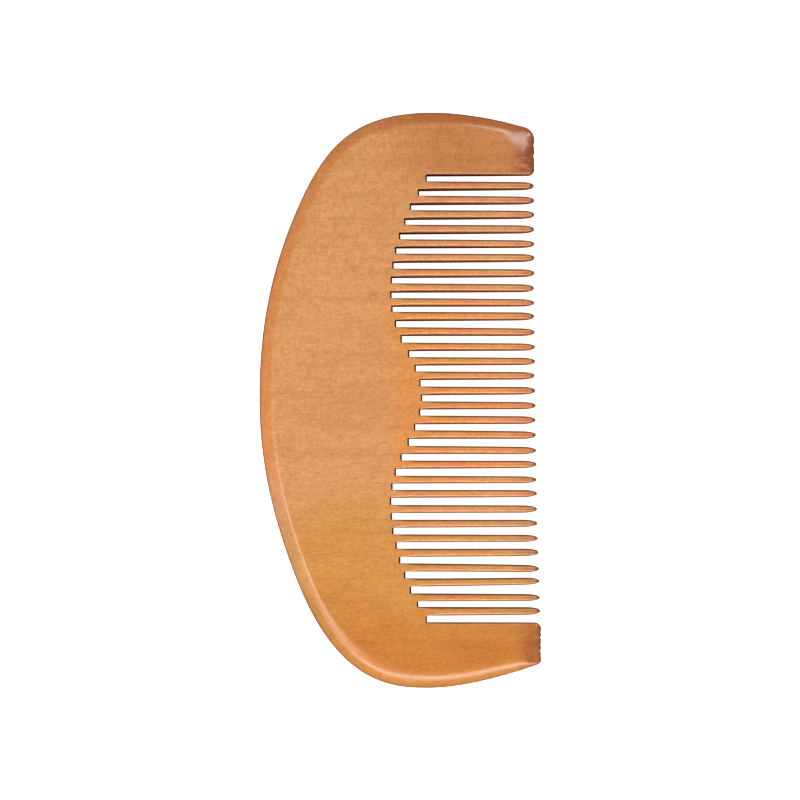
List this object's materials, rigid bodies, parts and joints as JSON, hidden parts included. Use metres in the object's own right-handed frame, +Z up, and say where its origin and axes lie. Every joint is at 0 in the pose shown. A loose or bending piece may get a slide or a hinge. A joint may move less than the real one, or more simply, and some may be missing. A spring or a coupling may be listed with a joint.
{
  "type": "beard comb",
  "caption": "Half-moon wooden beard comb: a broad rounded back, a row of straight bullet-nosed teeth and a wide guard at each end.",
  "frame": {"origin": "on the surface the comb lies on, under the middle of its bounding box", "axes": "+X from the curved back to the tooth tips, +Y along the row of teeth, +Z up through the thickness; the comb lies on one flat face"},
  "size_m": [0.0586, 0.12, 0.009],
  "materials": {
    "lacquered_wood": "fine even-grained hardwood, grain along the teeth, sanded and given a thin satin clear lacquer; warm orange-brown, darker and redder on the end grain of the tips and guards"
  },
  "bodies": {
    "root": {"back": "lacquered_wood", "upper_end_guard": "lacquered_wood", "lower_end_guard": "lacquered_wood", "tooth_01": "lacquered_wood", "tooth_02": "lacquered_wood", "tooth_03": "lacquered_wood", "tooth_04": "lacquered_wood", "tooth_05": "lacquered_wood", "tooth_06": "lacquered_wood", "tooth_07": "lacquered_wood", "tooth_08": "lacquered_wood", "tooth_09": "lacquered_wood", "tooth_10": "lacquered_wood", "tooth_11": "lacquered_wood", "tooth_12": "lacquered_wood", "tooth_13": "lacquered_wood", "tooth_14": "lacquered_wood", "tooth_15": "lacquered_wood", "tooth_16": "lacquered_wood", "tooth_17": "lacquered_wood", "tooth_18": "lacquered_wood", "tooth_19": "lacquered_wood", "tooth_20": "lacquered_wood", "tooth_21": "lacquered_wood", "tooth_22": "lacquered_wood", "tooth_23": "lacquered_wood", "tooth_24": "lacquered_wood", "tooth_25": "lacquered_wood", "tooth_26": "lacquered_wood", "tooth_27": "lacquered_wood", "tooth_28": "lacquered_wood", "tooth_29": "lacquered_wood", "tooth_30": "lacquered_wood"}
  },
  "joints": []
}
